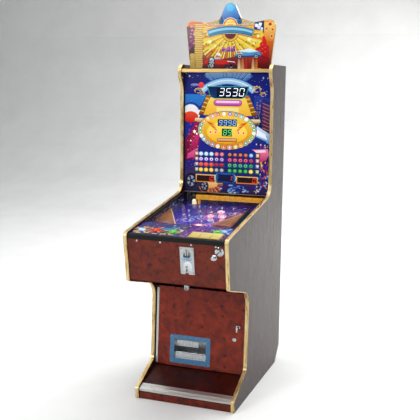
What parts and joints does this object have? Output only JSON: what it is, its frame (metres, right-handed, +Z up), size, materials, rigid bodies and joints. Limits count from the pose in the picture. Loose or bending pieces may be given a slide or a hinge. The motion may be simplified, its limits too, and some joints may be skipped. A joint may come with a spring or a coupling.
{
  "type": "pachinko machine",
  "caption": "Upright pin-and-bumper ball machine with a raked glass-topped playfield, lit display head, topper sign, token tray door and ball shooter.",
  "frame": {"origin": "middle of the flat bottom face of the cabinet, on the floor", "axes": "+X towards the player's right, +Y from the player to the back of the machine, +Z up"},
  "size_m": [0.54, 1.0806, 2.057],
  "materials": {
    "side_laminate": "gloss dark brown laminate",
    "burl_laminate": "gloss red burl wood-grain laminate",
    "ramp_laminate": "gloss dark burl laminate",
    "inner_board": "dark painted board",
    "gold_trim": "metallic gold edge moulding",
    "gold_metal": "satin gold anodised profile",
    "aluminium": "brushed",
    "steel": "brushed",
    "chrome": "polished",
    "black_metal": "satin black powder coat",
    "blue_metal": "hammered blue paint",
    "black_plastic": "satin black",
    "art_panel": "printed art under clear film",
    "playfield_art": "printed and lacquered plywood",
    "blue_cap": "gloss, lit",
    "red_cap": "gloss",
    "green_cap": "gloss",
    "white_pin": "gloss white",
    "pink_cap": "gloss translucent pink",
    "amber_plastic": "printed clear plastic",
    "red_plastic": "gloss translucent red",
    "yellow_paint": "gloss yellow",
    "field_glass": "clear toughened glass",
    "back_art": "glass printed on the back",
    "sign_art": "printed acrylic sign",
    "circuit_board": "green solder mask",
    "display_black": "dark tinted display windows",
    "lamp": "frosted lamp",
    "door_board": "gloss red burl wood-grain laminate",
    "hopper_plastic": "moulded grey-blue"
  },
  "bodies": {
    "cabinet": {"left_side_panel": "side_laminate", "right_side_panel": "side_laminate", "left_moulding": "gold_trim", "right_moulding": "gold_trim", "base_panel": "inner_board", "kick_panel": "burl_laminate", "footrest_panel": "ramp_laminate", "footrest_strip": "aluminium", "door_posts": "inner_board", "hinge_fixed_leaf": "aluminium", "front_panel": "burl_laminate", "box_bottom_panel": "burl_laminate", "lockdown_bar": "black_metal", "bar_bolts": "chrome", "control_panel": "art_panel", "button_bodies": "black_plastic", "coin_plate": "steel", "coin_mech": "black_plastic", "coin_return_chute": "steel", "shooter_housing": "chrome", "shooter_spring": "steel", "playfield": "playfield_art", "playfield_pins": "white_pin", "bumpers": "pink_cap", "playfield_guards": "amber_plastic", "red_arch": "red_plastic", "cross_bar": "yellow_paint", "lane_rail": "inner_board", "playfield_glass": "field_glass", "glass_channels": "black_plastic", "backglass": "back_art", "head_trim": "gold_metal", "display_board": "circuit_board", "jackpot_display": "display_black", "small_displays": "display_black", "lamps": "lamp", "head_top_board": "inner_board", "topper": "sign_art", "topper_brackets": "steel", "rear_panel": "inner_board", "rear_foot_panel": "inner_board", "power_inlet": "black_plastic", "hopper": "hopper_plastic"},
    "lower_door": {"door_panel": "door_board", "hinge_door_leaf": "aluminium", "tray_frame": "blue_metal", "tray_bucket": "steel"},
    "door_handle": {"door_handle": "chrome"},
    "door_lock": {"door_lock": "chrome"},
    "tray_flap": {"tray_flap": "steel"},
    "shooter": {"shooter_rod": "chrome"},
    "ball": {"ball": "chrome"},
    "blue_button": {"blue_button": "blue_cap"},
    "red_button": {"red_button": "red_cap"},
    "green_button": {"green_button": "green_cap"},
    "start_button": {"start_button": "green_cap"},
    "small_button": {"small_button": "blue_cap"},
    "coin_lever": {"coin_lever": "chrome"},
    "rear_door": {"rear_door": "inner_board"},
    "hopper_disc": {"hopper_disc": "steel"}
  },
  "joints": [
    {"name": "lower_door_hinge", "type": "hinge", "parent": "cabinet", "child": "lower_door", "pos_m": [-0.2355, -0.17065, 0.35138], "axis": [0, -0.0593, -0.9982], "range_deg": [0, 105]},
    {"name": "door_handle_turn", "type": "hinge", "parent": "lower_door", "child": "door_handle", "pos_m": [0.217, -0.16784, 0.37325], "axis": [0, 0.9982, -0.0593], "range_deg": [0, 90]},
    {"name": "door_lock_turn", "type": "hinge", "parent": "lower_door", "child": "door_lock", "pos_m": [0.197, -0.17182, 0.30637], "axis": [0, 0.9982, -0.0593], "range_deg": [0, 90]},
    {"name": "tray_flap_swing", "type": "hinge", "parent": "lower_door", "child": "tray_flap", "pos_m": [-0.049, -0.1584, 0.2625], "axis": [1, 0, 0], "range_deg": [0, 60]},
    {"name": "shooter_slide", "type": "slide", "parent": "cabinet", "child": "shooter", "axis": [0, -0.9877, -0.1564], "range_m": [0, 0.055], "stiffness_N_per_m": 250, "springref_m": -0.012, "deforming": ["shooter_spring"]},
    {"name": "ball_roll", "type": "slide", "parent": "cabinet", "child": "ball", "axis": [0, 0.9877, 0.1564], "range_m": [0, 0.4]},
    {"name": "blue_button_press", "type": "slide", "parent": "cabinet", "child": "blue_button", "axis": [0, 0.1564, -0.9877], "range_m": [0, 0.004], "stiffness_N_per_m": 300, "springref_m": -0.002},
    {"name": "red_button_press", "type": "slide", "parent": "cabinet", "child": "red_button", "axis": [0, 0.1564, -0.9877], "range_m": [0, 0.004], "stiffness_N_per_m": 300, "springref_m": -0.002},
    {"name": "green_button_press", "type": "slide", "parent": "cabinet", "child": "green_button", "axis": [0, 0.1564, -0.9877], "range_m": [0, 0.004], "stiffness_N_per_m": 300, "springref_m": -0.002},
    {"name": "start_button_press", "type": "slide", "parent": "cabinet", "child": "start_button", "axis": [0, 0.1564, -0.9877], "range_m": [0, 0.004], "stiffness_N_per_m": 300, "springref_m": -0.002},
    {"name": "small_button_press", "type": "slide", "parent": "cabinet", "child": "small_button", "axis": [0, 0.1564, -0.9877], "range_m": [0, 0.004], "stiffness_N_per_m": 300, "springref_m": -0.002},
    {"name": "coin_lever_press", "type": "slide", "parent": "cabinet", "child": "coin_lever", "axis": [0, 0.1564, -0.9877], "range_m": [0, 0.01], "stiffness_N_per_m": 150, "springref_m": -0.004},
    {"name": "rear_door_hinge", "type": "hinge", "parent": "cabinet", "child": "rear_door", "pos_m": [-0.2495, 0.472, 0.35], "axis": [0, 0, 1], "range_deg": [0, 100]},
    {"name": "hopper_disc_spin", "type": "hinge", "parent": "cabinet", "child": "hopper_disc", "pos_m": [-0.049, 0.053, 0.061], "axis": [0, 0, 1], "continuous": true}
  ]
}
